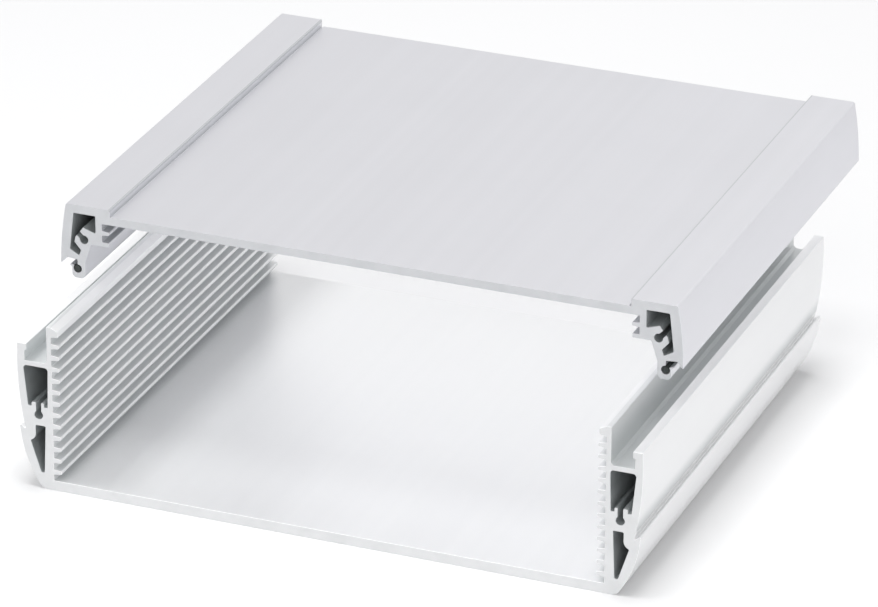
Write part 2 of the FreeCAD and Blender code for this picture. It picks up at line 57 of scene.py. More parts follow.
# %% [markdown]
# The camera stands in front of the enclosure, a little to its right and above it, behind a long lens, so
# that lines along the extrusion stay almost parallel. A constraint could aim it, but then it couldn't be
# tilted. Its place is worked out from what a photographer would note down: how far the view is turned,
# raised and tilted, how far off the camera is, and which point lies in the middle of the picture.

# %% Camera
VIEW_TURN = math.radians(21.6283)
VIEW_RAISE = math.radians(24.8006)
VIEW_ROLL = math.radians(0.2722)
VIEW_DISTANCE = 1639.85 * MM
AIM_RIGHT = 3.067 * MM
AIM_UP = 32.163 * MM
AIM_BASE = Vector((0, 0, 3 * MM))
LENS = 240.00
SENSOR_WIDTH = 36
CLIP_NEAR = 0.05
CLIP_FAR = 50


def build_camera():
    """A long lens aimed at the middle of the opened enclosure."""
    back = Vector((
        math.sin(VIEW_TURN) * math.cos(VIEW_RAISE),
        -math.cos(VIEW_TURN) * math.cos(VIEW_RAISE),
        math.sin(VIEW_RAISE),
    ))
    level_right = Vector((math.cos(VIEW_TURN), math.sin(VIEW_TURN), 0))
    level_up = back.cross(level_right)
    right = level_right * math.cos(VIEW_ROLL) + level_up * math.sin(VIEW_ROLL)
    up = back.cross(right)
    aim = AIM_BASE + right * AIM_RIGHT + up * AIM_UP
    turn = Matrix((right, up, back)).transposed().to_4x4()
    camera = bpy.data.objects.new("camera", bpy.data.cameras.new("camera"))
    camera.data.lens = LENS
    camera.data.sensor_width = SENSOR_WIDTH
    camera.data.clip_start = CLIP_NEAR
    camera.data.clip_end = CLIP_FAR
    camera.matrix_world = Matrix.Translation(aim + back * VIEW_DISTANCE) @ turn
    bpy.context.scene.collection.objects.link(camera)
    bpy.context.scene.camera = camera
    return camera


camera = build_camera()
print("camera at", [round(c, 3) for c in camera.location])

# %% [markdown]
# Every tree in this lesson, of geometry or of a finish, is written with one small helper: it adds a node,
# sets what the node itself offers, and then feeds each input, by a link where it is given another node's
# output and by a plain value otherwise. That keeps a tree readable from its first node to its last. A
# second helper hands on what the node makes, and a third does one sum, as a tree needs many of both.

# %% Helpers: add a node, do a sum
def place(tree, kind, feeds=None, **settings):
    """Add a node of this kind with these settings, and feed its inputs from sockets or plain values."""
    node = tree.nodes.new(kind)
    for name, value in settings.items():
        setattr(node, name, value)
    for name, value in (feeds or {}).items():
        if isinstance(value, bpy.types.NodeSocket):
            tree.links.new(value, node.inputs[name])
        else:
            node.inputs[name].default_value = value
    return node


def made(tree, kind, feeds=None, **settings):
    """What a newly placed node makes: its first output."""
    return place(tree, kind, feeds, **settings).outputs[0]


def calc(tree, operation, first, second=0.0, third=0.0):
    """The output of one Math node."""
    return made(tree, "ShaderNodeMath", {0: first, 1: second, 2: third}, operation=operation)


print("helpers: place, made, calc")

# %% [markdown]
# An effect that more than one finish needs is a node group, built once and placed in each material with
# values of its own. The groups here give heights and tones only, and each finish decides how much of them
# shows. Noise is used rather than painted pictures, because it stays sharp however close the camera comes.

# %% Helper: start a shader group
def new_group(name, inputs, outputs):
    """A shader group with number inputs (name, default) and number outputs, and its two end nodes."""
    group = bpy.data.node_groups.new(name, "ShaderNodeTree")
    for label, default in inputs:
        socket = group.interface.new_socket(label, in_out="INPUT", socket_type="NodeSocketFloat")
        socket.default_value = default
    for label in outputs:
        group.interface.new_socket(label, in_out="OUTPUT", socket_type="NodeSocketFloat")
    return group, group.nodes.new("NodeGroupInput"), group.nodes.new("NodeGroupOutput")


def place_noise(group, feeds, **settings):
    """The value of one Noise Texture node."""
    return made(group, "ShaderNodeTexNoise", feeds, **settings)


print("helpers: new_group, place_noise")

# %% [markdown]
# An extrusion carries fine lines all along its length, where the die has drawn them. They could be ridges
# in the mesh, but they are far thinner than its walls, so a noise squeezed across the section and
# stretched along Y stands for them. A broader one makes whole runs of lines a little lighter or darker.

# %% Group: lines drawn by the die
ALONG_THE_DRAW = (1, 0.004, 1)
BROAD_SHARE = 0.09


def die_lines_group():
    """Fine lines along the extrusion: a height and a slow tone."""
    group, given, result = new_group("die_lines", [("Lines per metre", 2500.0)], ["Height", "Tone"])
    coords = group.nodes.new("ShaderNodeTexCoord").outputs["Object"]
    drawn = made(group, "ShaderNodeVectorMath", {0: coords, 1: ALONG_THE_DRAW}, operation="MULTIPLY")
    lines = given.outputs["Lines per metre"]
    broad_lines = calc(group, "MULTIPLY", lines, BROAD_SHARE)
    fine = place_noise(group, {"Vector": drawn, "Scale": lines, "Detail": 3.0, "Roughness": 0.6})
    broad = place_noise(group, {"Vector": drawn, "Scale": broad_lines, "Detail": 2.0, "Roughness": 0.5})
    group.links.new(fine, result.inputs["Height"])
    group.links.new(broad, result.inputs["Tone"])
    return group


DIE_LINES = die_lines_group()
print("group:", DIE_LINES.name)

# %% [markdown]
# The satin of a coated or anodised profile comes from a grain of a few hundredths of a millimetre, with
# slow clouds over it where the bath or the powder lay a little thicker. One noise of each size gives both.

# %% Group: satin grain
def satin_grain_group():
    """A fine grain and slow clouds, the same in all directions."""
    group, given, result = new_group(
        "satin_grain", [("Grains per metre", 9000.0), ("Clouds per metre", 30.0)], ["Height", "Cloud"])
    coords = group.nodes.new("ShaderNodeTexCoord").outputs["Object"]
    grain = place_noise(group, {
        "Vector": coords, "Scale": given.outputs["Grains per metre"], "Detail": 2.0, "Roughness": 0.55})
    cloud = place_noise(group, {
        "Vector": coords, "Scale": given.outputs["Clouds per metre"], "Detail": 3.0, "Roughness": 0.55})
    group.links.new(grain, result.inputs["Height"])
    group.links.new(cloud, result.inputs["Cloud"])
    return group


SATIN_GRAIN = satin_grain_group()
print("group:", SATIN_GRAIN.name)

# %% [markdown]
# The ends are sawn and then brushed. A saw blade leaves shallow arcs, so this group measures the distance
# from the blade's centre, far below the profile, and ripples with it. Rings of a Wave node would look too
# even, so the ripples are a noise in one dimension.

# %% Group: saw marks
BLADE_RADIUS = 200 * MM
PATCHES_PER_METRE = 160.0


def saw_marks_group():
    """Shallow arcs across a sawn end."""
    group, given, result = new_group("saw_marks", [("Marks per metre", 1400.0)], ["Height", "Tone"])
    coords = group.nodes.new("ShaderNodeTexCoord").outputs["Object"]
    split = place(group, "ShaderNodeSeparateXYZ", {0: coords})
    across_squared = calc(group, "POWER", split.outputs["X"], 2.0)
    drop_squared = calc(group, "POWER", calc(group, "ADD", split.outputs["Z"], BLADE_RADIUS), 2.0)
    reach = calc(group, "SQRT", calc(group, "ADD", across_squared, drop_squared))
    rings = place_noise(group, {
        "W": reach, "Scale": given.outputs["Marks per metre"], "Detail": 3.0}, noise_dimensions="1D")
    patches = place_noise(group, {"Vector": coords, "Scale": PATCHES_PER_METRE, "Detail": 2.0})
    group.links.new(rings, result.inputs["Height"])
    group.links.new(patches, result.inputs["Tone"])
    return group


SAW_MARKS = saw_marks_group()
print("group:", SAW_MARKS.name)

# %% [markdown]
# Every finish below starts with the same moves: a new material, a group with values of its own, and a
# bump for each kind of relief, one laid over the other. The Principled shader stays in the material
# itself, so that each finish can be read, and changed, in one place.

# %% Helpers: a material, its groups and its relief
def new_material(name):
    """A material with its tree and its Principled shader."""
    material = bpy.data.materials.new(name)
    material.use_nodes = True
    tree = material.node_tree
    return material, tree, tree.nodes["Principled BSDF"]


def use_group(tree, group, **values):
    """Place a group in a material with its own values."""
    node = place(tree, "ShaderNodeGroup", node_tree=group)
    for name, value in values.items():
        node.inputs[name.replace("_", " ").capitalize()].default_value = value
    return node


def bump(tree, height, strength, distance, after=None):
    """A Bump node, laid over another one where it is given."""
    feeds = {"Strength": strength, "Distance": distance, "Height": height}
    if after is not None:
        feeds["Normal"] = after
    return made(tree, "ShaderNodeBump", feeds)


print("helpers: new_material, use_group, bump")

# %% [markdown]
# A noise swings about 0.5 and seldom goes far from it. For a roughness it is turned into a swing about a
# middle value, and for a colour its usual span is stretched between two tones that lie close together.

# %% Helpers: let a mask steer a value or a colour
NOISE_MIDDLE = 0.5
NOISE_LOW = 0.35
NOISE_HIGH = 0.65


def around(tree, mask, middle, spread):
    """The mask turned into a value that swings about the middle."""
    return calc(tree, "MULTIPLY_ADD", calc(tree, "SUBTRACT", mask, NOISE_MIDDLE), spread, middle)


def mix_tone(tree, mask, low, high):
    """A colour between two, by the mask within its usual span."""
    share = made(tree, "ShaderNodeMapRange", {"Value": mask, "From Min": NOISE_LOW, "From Max": NOISE_HIGH})
    mix = place(tree, "ShaderNodeMix", data_type="RGBA")
    tree.links.new(share, mix.inputs["Factor"])
    mix.inputs["A"].default_value = (*low, 1)
    mix.inputs["B"].default_value = (*high, 1)
    return mix.outputs["Result"]


print("helpers: around, mix_tone")

# %% [markdown]
# In grooves, under lips and in other narrow places the colour is darkened: this is painted shade. An
# Ambient Occlusion node measures how much room a point has around it, counting its own piece alone, so that
# the painted shade stays the same wherever the lid is. A Map Range node turns the room into a share, from
# shut in to clear.

# %% Helper: where painted shade falls
SHADE_REACH = 12 * MM
SHUT_IN = 0.15
CLEAR = 0.72


def unshaded_share(tree):
    """1 where the surface lies open, and less, as painted shade, the more the profile itself stands in its
    way.
    """
    room = place(tree, "ShaderNodeAmbientOcclusion", {"Distance": SHADE_REACH}, samples=4, only_local=True)
    return made(tree, "ShaderNodeMapRange", {
        "Value": room.outputs["AO"], "From Min": SHUT_IN, "From Max": CLEAR})


print("helper: reached")

# %% [markdown]
# More painted shade belongs to one place on a profile. The section is the same all along it, so such a
# place is a span across and a span of heights, and Object coordinates give both. It could be painted on a
# UV map, but a map would have to be drawn anew whenever the section changes.

# %% Helpers: painted shade by place
def across_and_up(tree):
    """How far a point lies from the profile's middle, to either side, and how high."""
    coords = tree.nodes.new("ShaderNodeTexCoord").outputs["Object"]
    split = place(tree, "ShaderNodeSeparateXYZ", {0: coords})
    return calc(tree, "ABSOLUTE", split.outputs["X"]), split.outputs["Z"]


def both(tree, first, second):
    """1 where both masks are 1."""
    return calc(tree, "MULTIPLY", first, second)


def past(tree, value, bound):
    """1 where a value is above a bound, and 0 elsewhere."""
    return calc(tree, "GREATER_THAN", value, bound)


def within(tree, value, span):
    """1 where a value lies within a span, and 0 elsewhere."""
    return both(tree, past(tree, value, span[0]), calc(tree, "LESS_THAN", value, span[1]))


def fading(tree, value, span, at_low, at_high):
    """A soft passage from one share at a span's lower end to another at its upper end."""
    return made(tree, "ShaderNodeMapRange", {
        "Value": value, "From Min": span[0], "From Max": span[1], "To Min": at_low, "To Max": at_high},
        interpolation_type="SMOOTHSTEP")


def shadier(tree, unshaded, mask):
    """The unshaded share, held down by painted shade where a mask says so."""
    return calc(tree, "MINIMUM", unshaded, calc(tree, "SUBTRACT", 1.0, mask))


print("helpers: spans, fades and duller places")

# %% [markdown]
# On the base, the side channels and the inner walls beside them get painted shade, most of all low down.
# The shadow groove along the outer side gets none, so its inside keeps the skin's full tone, and just above
# it a soft band of painted shade fades out up the wall.

# %% The base's painted shade
CHANNEL_ACROSS = (80.2 * MM, 88.35 * MM)
CHANNEL_UP = (37.8 * MM, 43 * MM)
INNER_WALL_ACROSS = (80.2 * MM, 82.2 * MM)
INNER_WALL_UP = (37.8 * MM, 50 * MM)
CHANNEL_FADE = (38 * MM, 49 * MM)
SHADE_AT_BOTTOM, SHADE_AT_CREST = 1.25, 0.5
GROOVE_FROM, GROOVE_UP = 88.2 * MM, (16.5 * MM, 19.62 * MM)
BAND_FROM, BAND_FADE = 88.6 * MM, (19.6 * MM, 25 * MM)
SHADE_OVER_GROOVE = 1.1


def base_painted_shade(tree, unshaded):
    """The unshaded share on the base: painted shade in its side channels and above its groove, none in it.
    """
    across, up = across_and_up(tree)
    channel = both(tree, within(tree, across, CHANNEL_ACROSS), within(tree, up, CHANNEL_UP))
    inner_wall = both(tree, within(tree, across, INNER_WALL_ACROSS), within(tree, up, INNER_WALL_UP))
    low_down = fading(tree, up, CHANNEL_FADE, SHADE_AT_BOTTOM, SHADE_AT_CREST)
    unshaded = shadier(tree, unshaded, both(tree, calc(tree, "MAXIMUM", channel, inner_wall), low_down))
    groove = both(tree, past(tree, across, GROOVE_FROM), within(tree, up, GROOVE_UP))
    unshaded = calc(tree, "MAXIMUM", unshaded, groove)
    band = both(tree, past(tree, across, BAND_FROM), past(tree, up, GROOVE_UP[1]))
    return shadier(tree, unshaded, both(tree, band, fading(tree, up, BAND_FADE, SHADE_OVER_GROOVE, 0.0)))


print("base: channel floor at", round(CHANNEL_UP[0] / MM, 1), "mm")

# %% [markdown]
# On the lid, a fine line of painted shade runs along the inner edge of each raised band. A groove in the
# mesh could make it, but it is only half a millimetre wide, so a mask by place draws it.

# %% The lid's painted shade line
EDGE_SHADE_ACROSS = (75.7 * MM, 76.25 * MM)
BAND_TOP = 71.9 * MM


def lid_painted_shade(tree, unshaded):
    """The unshaded share on the lid: less on a fine line of painted shade along the inner edge of each
    band.
    """
    across, up = across_and_up(tree)
    return shadier(tree, unshaded, both(tree, within(tree, across, EDGE_SHADE_ACROSS), past(tree, up, BAND_TOP)))


print("lid: line", round((EDGE_SHADE_ACROSS[1] - EDGE_SHADE_ACROSS[0]) / MM, 2), "mm wide")

# %% [markdown]
# The skin is the outside of both profiles: a pale satin coat on metal, a little mirror-like at a low
# angle, with the die's lines just showing. Bare metal would be darker and mirror the tent, and plain
# white paint would have no sheen, so the shader lies in between. Base and lid differ in colour, gloss and
# in where shade is painted on them, so one function makes both, with each one's painted shade handed to it.

# %% Finish: satin skin
def satin_skin(name, dark, light, painted_shade, tones, metallic, roughness, line_depth):
    """The coated outside of a profile: two close tones where it lies open, and a darker, painted shade
    elsewhere.
    """
    material, tree, shader = new_material(name)
    lines = use_group(tree, DIE_LINES, lines_per_metre=2600.0)
    grain = use_group(tree, SATIN_GRAIN, grains_per_metre=9000.0, clouds_per_metre=28.0)
    cloud = calc(tree, "MULTIPLY", grain.outputs["Cloud"], 0.4)
    tone = calc(tree, "MULTIPLY_ADD", lines.outputs["Tone"], 0.6, cloud)
    # This mix puts in the painted shade colour, by the share that the place masks leave unshaded.
    shaded_colour = place(tree, "ShaderNodeMix", data_type="RGBA")
    tree.links.new(tones(tree, unshaded_share(tree)), shaded_colour.inputs["Factor"])
    shaded_colour.inputs["A"].default_value = (*painted_shade, 1)
    tree.links.new(mix_tone(tree, tone, dark, light), shaded_colour.inputs["B"])
    tree.links.new(shaded_colour.outputs["Result"], shader.inputs["Base Color"])
    tree.links.new(around(tree, lines.outputs["Tone"], roughness, 0.12), shader.inputs["Roughness"])
    relief = bump(tree, lines.outputs["Height"], line_depth, 0.01 * MM)
    relief = bump(tree, grain.outputs["Height"], 0.25, 0.004 * MM, relief)
    tree.links.new(relief, shader.inputs["Normal"])
    shader.inputs["Metallic"].default_value = metallic
    return material


BASE_SKIN = satin_skin(
    "base_satin", dark=(0.945, 0.949, 0.955), light=(0.965, 0.968, 0.972), painted_shade=(0.72, 0.74, 0.744),
    tones=base_painted_shade, metallic=0.40, roughness=0.32, line_depth=0.4)
LID_SKIN = satin_skin(
    "lid_satin", dark=(0.680, 0.680, 0.712), light=(0.703, 0.703, 0.735), painted_shade=(0.54, 0.555, 0.57),
    tones=lid_painted_shade, metallic=0.62, roughness=0.38, line_depth=0.25)
print("finishes:", BASE_SKIN.name, LID_SKIN.name)

# %% [markdown]
# Inside the closed hollows the coat hardly reaches, so the metal is bare there, and its colour is darkened
# as painted shade, for the shade deep inside the hollows. It could share the skin's painted shade colour,
# but its die lines are coarser and deeper, because nobody brushes them down.

# %% Finish: hollow walls, with painted shade
def shaded_hollow_wall():
    """Bare metal inside the closed hollows, darkened as painted shade."""
    material, tree, shader = new_material("shaded_hollow_wall")
    lines = use_group(tree, DIE_LINES, lines_per_metre=1500.0)
    tone = lines.outputs["Tone"]
    tree.links.new(mix_tone(tree, tone, (0.46, 0.485, 0.49), (0.58, 0.605, 0.61)),
                   shader.inputs["Base Color"])
    tree.links.new(around(tree, tone, 0.5, 0.2), shader.inputs["Roughness"])
    tree.links.new(bump(tree, lines.outputs["Height"], 0.6, 0.02 * MM), shader.inputs["Normal"])
    shader.inputs["Metallic"].default_value = 0.5
    return material


SHADED_HOLLOW_WALL = shaded_hollow_wall()
print("finish:", SHADED_HOLLOW_WALL.name)

# %% [markdown]
# The sawn ends were coated with the rest. They are rougher than the skin, with the saw's arcs under the
# grain, and their colour is darker than the skin's: painted shade that holds down the bright light from the
# front. Their metallic share is low, because a rough cut scatters what it reflects.

# %% Finish: sawn ends
def sawn_end_shaded(name, dark, light):
    """A profile's cut end, its colour darkened as painted shade."""
    material, tree, shader = new_material(name)
    marks = use_group(tree, SAW_MARKS, marks_per_metre=1400.0)
    grain = use_group(tree, SATIN_GRAIN, grains_per_metre=7000.0, clouds_per_metre=60.0)
    tree.links.new(mix_tone(tree, marks.outputs["Tone"], dark, light), shader.inputs["Base Color"])
    tree.links.new(around(tree, marks.outputs["Tone"], 0.45, 0.15), shader.inputs["Roughness"])
    relief = bump(tree, marks.outputs["Height"], 0.35, 0.012 * MM)
    relief = bump(tree, grain.outputs["Height"], 0.25, 0.004 * MM, relief)
    tree.links.new(relief, shader.inputs["Normal"])
    shader.inputs["Metallic"].default_value = 0.2
    return material


BASE_END_SHADED = sawn_end_shaded("base_sawn_end", dark=(0.70, 0.708, 0.712), light=(0.74, 0.745, 0.75))
LID_END_SHADED = sawn_end_shaded("lid_sawn_end", dark=(0.585, 0.596, 0.612), light=(0.628, 0.636, 0.652))
print("finishes:", BASE_END_SHADED.name, LID_END_SHADED.name)

# %% [markdown]
# The sealing cords are soft black rubber with a faint green cast, dusted with talc so that they slide into
# their seats. Real rubber also scatters light just below its surface, but in so dark a cord a fairly
# rough shader with a fine bump shows the same.

# %% Finish: cord rubber
def cord_rubber():
    """Soft black rubber with a trace of talc."""
    material, tree, shader = new_material("cord_rubber")
    grain = use_group(tree, SATIN_GRAIN, grains_per_metre=6000.0, clouds_per_metre=220.0)
    cloud = grain.outputs["Cloud"]
    tree.links.new(mix_tone(tree, cloud, (0.012, 0.017, 0.016), (0.03, 0.037, 0.035)),
                   shader.inputs["Base Color"])
    tree.links.new(around(tree, cloud, 0.42, 0.25), shader.inputs["Roughness"])
    tree.links.new(bump(tree, grain.outputs["Height"], 0.5, 0.02 * MM), shader.inputs["Normal"])
    return material


CORD_RUBBER = cord_rubber()
print("finish:", CORD_RUBBER.name)

# %% [markdown]
# A section is the outline of a profile's end: one long loop for its skin and a shorter one for each closed
# hollow. Tracing it by hand would only copy what the node already holds, so it is read off the node. The
# faces at the front end are found, and the edges that belong to just one of them are the outline. The
# node itself stays as it is: the reading is done on a copy of its mesh, with its doubles merged.

# %% Find a node's front outline
SAME_PLACE = 0.001 * MM


def front_rim(node):
    """The outline at a node's front end, as each point's neighbours, and where the node starts and ends."""
    work = bmesh.new()
    work.from_mesh(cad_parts[node].data)
    bmesh.ops.remove_doubles(work, verts=work.verts, dist=SAME_PLACE)
    front = min(v.co.y for v in work.verts)
    back = max(v.co.y for v in work.verts)
    cap = {f for f in work.faces if all(abs(v.co.y - front) < SAME_PLACE for v in f.verts)}
    neighbours = {}
    for edge in work.edges:
        if len([f for f in edge.link_faces if f in cap]) == 1:
            first, second = [(v.co.x, -v.co.z) for v in edge.verts]
            neighbours.setdefault(first, []).append(second)
            neighbours.setdefault(second, []).append(first)
    work.free()
    return neighbours, front, back


print("base_profile:", len(front_rim("base_profile")[0]), "points round its front")

# %% [markdown]
# The outline comes as loose edges, so the next step walks from point to point until each loop closes. The
# area inside a loop tells its size and, by its sign, which way round it runs.

# %% Walk the loops of an outline
def walk_loops(neighbours):
    """The closed loops of an outline, each a list of points."""
    loops = []
    left = dict(neighbours)
    while left:
        here = next(iter(left))
        loop = []
        while here in left:
            loop.append(here)
            ways = left.pop(here)
            here = next((p for p in ways if p in left), None)
        loops.append(loop)
    return loops


def signed_area(loop):
    """The area inside a loop, above zero where it runs against the clock."""
    return sum(a[0] * b[1] - b[0] * a[1] for a, b in zip(loop, loop[1:] + loop[:1])) / 2


print("area of a small triangle:", signed_area([(0, 0), (1, 0), (0, 1)]))

# %% [markdown]
# Each loop becomes a spline of a flat curve, x across and y down, because a sweep along Y turns a curve's
# y to point downwards. The skin runs against the clock and the hollows with it, so that the walls drawn
# from them all face away from the metal.

# %% Draw the two sections as curves
def section_curve(node):
    """A flat curve of a node's end outline, and where the node begins and ends along Y."""
    neighbours, front, back = front_rim(node)
    loops = sorted(walk_loops(neighbours), key=lambda loop: -abs(signed_area(loop)))
    curve = bpy.data.curves.new(f"{node}_section", "CURVE")
    curve.dimensions = "3D"
    for i, loop in enumerate(loops):
        is_skin = i == 0
        if (signed_area(loop) > 0) != is_skin:
            loop = loop[::-1]
        spline = curve.splines.new("POLY")
        spline.points.add(len(loop) - 1)
        for point, (across, down) in zip(spline.points, loop):
            point.co = (across, down, 0, 1)
        spline.use_cyclic_u = True
    print(f"{node}: {len(loops)} loops, {sum(len(s.points) for s in curve.splines)} points")
    return curve, front, back


base_section = section_curve("base_profile")
lid_section = section_curve("lid_profile")

# %% [markdown]
# A profile is its section drawn out along Y. Extruding it by hand would do for one, but here a single
# Geometry Nodes tree makes both: it rounds the section's corners, sweeps it, deburrs and fills its ends,
# and gives each kind of surface its finish. The next cells make its parts one by one.

# %% Helpers: a geometry tree and its small steps
def new_geometry_tree(name, inputs):
    """A geometry tree with the named inputs (label, kind), its end nodes and each input's identifier."""
    tree = bpy.data.node_groups.new(name, "GeometryNodeTree")
    tree.interface.new_socket("Geometry", in_out="INPUT", socket_type="NodeSocketGeometry")
    identifiers = {}
    for label, kind in inputs:
        socket = tree.interface.new_socket(label, in_out="INPUT", socket_type=f"NodeSocket{kind}")
        identifiers[label] = socket.identifier
    tree.interface.new_socket("Geometry", in_out="OUTPUT", socket_type="NodeSocketGeometry")
    return tree, tree.nodes.new("NodeGroupInput"), tree.nodes.new("NodeGroupOutput"), identifiers


def compare(tree, operation, first, second):
    """The yes or no of one comparison of numbers."""
    return made(tree, "FunctionNodeCompare", {0: first, 1: second}, operation=operation)


def vector(tree, operation, first, second):
    """One Vector Math node of two vectors."""
    return place(tree, "ShaderNodeVectorMath", {0: first, 1: second}, operation=operation)


def scaled(tree, arrow, scale):
    """A vector made longer or shorter."""
    return made(tree, "ShaderNodeVectorMath", {0: arrow, "Scale": scale}, operation="SCALE")


def moved(tree, geometry, **feeds):
    """The geometry with its points set to a Position, or shifted by an Offset."""
    return made(tree, "GeometryNodeSetPosition", {"Geometry": geometry, **feeds})


print("helpers: new_geometry_tree, compare, vector, scaled, moved")

# %% [markdown]
# No die has a sharp corner, so where a section turns sharply it is rounded by the die's radius, and the
# bends that are already round are left alone. A Bevel modifier on the finished profile would round the
# sawn edges too. The turn at a point is the angle between the side that comes in and the side that
# leaves, so the tree asks for the points before and after.

# %% Round the section's corners
CORNER_TURN = math.radians(25)
CORNER_STEPS = 3


def point_at(tree, offset):
    """The place of the point that is this many steps along the same loop."""
    step = place(tree, "GeometryNodeOffsetPointInCurve", {"Offset": offset})
    here = made(tree, "GeometryNodeInputPosition")
    there = place(tree, "GeometryNodeFieldAtIndex", domain="POINT", data_type="FLOAT_VECTOR")
    tree.links.new(here, there.inputs["Value"])
    tree.links.new(step.outputs["Point Index"], there.inputs["Index"])
    return there.outputs["Value"]


def heading(tree, start, end):
    """The direction from one place to another."""
    way = vector(tree, "SUBTRACT", end, start).outputs[0]
    return made(tree, "ShaderNodeVectorMath", {0: way}, operation="NORMALIZE")


def rounded_section(tree, curve, radius):
    """The section with its sharp corners rounded."""
    here = made(tree, "GeometryNodeInputPosition")
    coming = heading(tree, point_at(tree, -1), here)
    leaving = heading(tree, here, point_at(tree, 1))
    straight = vector(tree, "DOT_PRODUCT", coming, leaving).outputs["Value"]
    is_corner = compare(tree, "LESS_THAN", straight, math.cos(CORNER_TURN))
    corner_radius = calc(tree, "MULTIPLY", is_corner, radius)
    return made(tree, "GeometryNodeFilletCurve", {
        "Curve": curve, "Count": CORNER_STEPS, "Radius": corner_radius, "Limit Radius": True},
        mode="POLY")


print("corners sharper than", round(math.degrees(CORNER_TURN)), "degrees are rounded")

# %% [markdown]
# Finishes go by marks that ride on the geometry. The longest loop of a section is the skin and all others
# are hollows, so each loop's length is set against the longest one, and the mark passes from the loops
# to the walls that are swept from them.

# %% Mark the skin and the hollows
ALMOST_ALL = 0.99


def marked(tree, geometry, name, value, domain="FACE"):
    """The geometry with a yes-or-no mark of this name."""
    node = place(tree, "GeometryNodeStoreNamedAttribute", {"Geometry": geometry, "Name": name},
                 data_type="BOOLEAN", domain=domain)
    if isinstance(value, bpy.types.NodeSocket):
        tree.links.new(value, node.inputs["Value"])
    else:
        node.inputs["Value"].default_value = value
    return node.outputs[0]


def mark(tree, name):
    """Whether a face carries the mark of this name."""
    return made(tree, "GeometryNodeInputNamedAttribute", {"Name": name}, data_type="BOOLEAN")


def with_hollows_marked(tree, section):
    """The section with a mark on every loop but its longest."""
    loop_length = place(tree, "GeometryNodeSplineLength").outputs["Length"]
    longest = place(tree, "GeometryNodeAttributeStatistic", {"Geometry": section}, domain="CURVE")
    tree.links.new(loop_length, longest.inputs["Attribute"])
    almost_longest = calc(tree, "MULTIPLY", longest.outputs["Max"], ALMOST_ALL)
    is_hollow = compare(tree, "LESS_THAN", loop_length, almost_longest)
    return marked(tree, section, "shaded_hollow_wall", is_hollow, "CURVE")


print("marks: shaded_hollow_wall on loops, cut_end on end faces")

# %% [markdown]
# The line that the section follows needs just four points: the two ends, and a deburring's width inside
# each. After the sweep, the vertices of the end rings move inwards against the wall's own normal, which
# leaves the small bevel that a file leaves.

# %% The line to draw along
LINE_POINTS = 4


def drawing_line(tree, front, back, deburr):
    """A straight line along Y with a short first and last stretch."""
    start = made(tree, "ShaderNodeCombineXYZ", {1: front})
    end = made(tree, "ShaderNodeCombineXYZ", {1: back})
    line = made(tree, "GeometryNodeCurvePrimitiveLine", {"Start": start, "End": end})
    four = made(tree, "GeometryNodeResampleCurve", {"Curve": line, "Count": LINE_POINTS})
    index = made(tree, "GeometryNodeInputIndex")
    near_front = calc(tree, "MINIMUM", index, 1.0)
    near_back = calc(tree, "MINIMUM", calc(tree, "SUBTRACT", LINE_POINTS - 1.0, index), 1.0)
    in_second_half = compare(tree, "GREATER_THAN", index, (LINE_POINTS - 1) / 2)
    from_front = calc(tree, "MULTIPLY_ADD", near_front, deburr, front)
    from_back = calc(tree, "SUBTRACT", back, calc(tree, "MULTIPLY", near_back, deburr))
    share = calc(tree, "MULTIPLY", in_second_half, 1.0)
    along = calc(tree, "MULTIPLY_ADD", share, calc(tree, "SUBTRACT", from_back, from_front), from_front)
    return moved(tree, four, Position=made(tree, "ShaderNodeCombineXYZ", {1: along}))


print("the drawing line has", LINE_POINTS, "points")

# %% Draw the walls
END_RING = 0.002 * MM


def at_end(tree, where):
    """Whether a point lies at this place along Y."""
    here = place(tree, "ShaderNodeSeparateXYZ", {0: made(tree, "GeometryNodeInputPosition")})
    gap = calc(tree, "ABSOLUTE", calc(tree, "SUBTRACT", here.outputs["Y"], where))
    return compare(tree, "LESS_THAN", gap, END_RING)


def drawn_walls(tree, section, front, back, deburr):
    """The section swept along Y, with its end rings drawn in."""
    line = drawing_line(tree, front, back, deburr)
    walls = made(tree, "GeometryNodeCurveToMesh", {"Curve": line, "Profile Curve": section})
    is_rim = made(tree, "FunctionNodeBooleanMath", {0: at_end(tree, front), 1: at_end(tree, back)},
                  operation="OR")
    normal = made(tree, "GeometryNodeInputNormal")
    inwards = scaled(tree, normal, calc(tree, "MULTIPLY", deburr, -1.0))
    return moved(tree, walls, Selection=is_rim, Offset=inwards)


print("end rings are found within", END_RING / MM, "mm")

# %% [markdown]
# The caps of a sweep would fill the hollows too. So each end ring is turned back into curves and laid
# flat, where Fill Curve leaves out a loop that lies inside another, and the filled face is stood up again
# at the profile's end. Merging by distance then sews caps and walls together.

# %% Close the ends
SEAM = 0.0005 * MM


def sewn_cap(tree, walls, where, flip):
    """The filled end of the walls at this place along Y."""
    rim = made(tree, "GeometryNodeMeshToCurve", {"Mesh": walls, "Selection": at_end(tree, where)})
    here = place(tree, "ShaderNodeSeparateXYZ", {0: made(tree, "GeometryNodeInputPosition")})
    x, y, z = (here.outputs[axis] for axis in "XYZ")
    flat = moved(tree, rim, Position=made(tree, "ShaderNodeCombineXYZ", {0: x, 1: z}))
    filled = made(tree, "GeometryNodeFillCurve", {"Curve": flat}, mode="TRIANGLES")
    raised = made(tree, "ShaderNodeCombineXYZ", {0: x, 1: where, 2: y})
    stood = moved(tree, filled, Position=raised)
    if flip:
        stood = made(tree, "GeometryNodeFlipFaces", {"Mesh": stood})
    return stood


def joined(tree, first, second):
    """Two geometries as one."""
    join = place(tree, "GeometryNodeJoinGeometry")
    tree.links.new(first, join.inputs[0])
    tree.links.new(second, join.inputs[0])
    return join.outputs[0]


